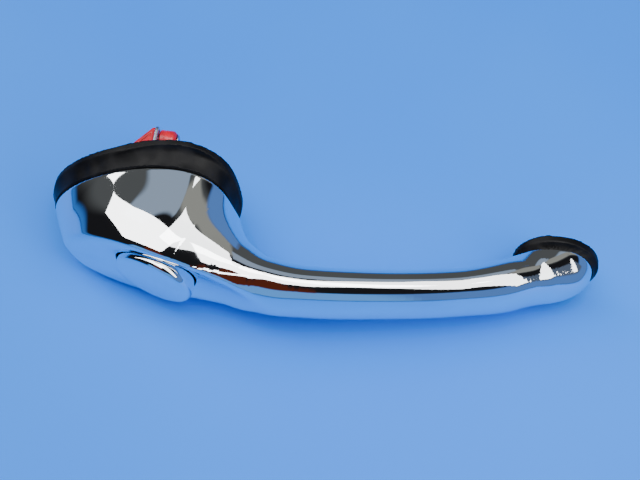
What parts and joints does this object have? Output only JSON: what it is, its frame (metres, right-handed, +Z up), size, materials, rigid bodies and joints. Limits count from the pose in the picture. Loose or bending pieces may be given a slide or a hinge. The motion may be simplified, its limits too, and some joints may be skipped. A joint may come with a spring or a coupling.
{
  "type": "car door handle",
  "caption": "Chromed push-button door handle with a curved grip, a domed button end with a thumb dish, a small foot, rubber seats and a sprung button that drives a striker.",
  "frame": {"origin": "where the button's axis meets the surface of the door, at the big end", "axes": "+X runs along the grip from the button end to the small end, -Y points away from the door, +Z is up; the door leans back at the top by 20 degrees, so its plane is y = z tan 20 degrees"},
  "size_m": [0.1937, 0.064, 0.0462],
  "materials": {
    "chrome": "bright chrome plate",
    "rubber": "black moulded rubber",
    "zinc_steel": "bright zinc plated steel",
    "spring_steel": "oiled spring steel",
    "bronze": "turned bronze",
    "red_nylon": "moulded red nylon"
  },
  "bodies": {
    "handle": {"handle_body": "chrome", "large_pad": "rubber", "small_pad": "rubber", "back_plate": "zinc_steel", "guide_bush": "bronze", "plate_washer_right": "zinc_steel", "plate_washer_left": "zinc_steel", "plate_screw_right": "zinc_steel", "plate_screw_left": "zinc_steel", "large_end_insert": "bronze", "small_end_insert": "bronze"},
    "button": {"push_button": "chrome", "button_seal": "rubber", "spring_cup": "zinc_steel", "plunger_stem": "zinc_steel", "stem_washer": "zinc_steel", "retaining_clip": "spring_steel", "striker_bracket": "zinc_steel", "lock_nut": "zinc_steel", "buffer_barrel": "red_nylon", "buffer_wedge": "red_nylon", "buffer_rivet": "zinc_steel", "return_spring": "spring_steel"}
  },
  "joints": [
    {"name": "button_press", "type": "slide", "parent": "handle", "child": "button", "axis": [0, 1, 0], "range_m": [0, 0.005], "stiffness_N_per_m": 1500, "springref_m": -0.004, "deforming": ["return_spring"]}
  ]
}
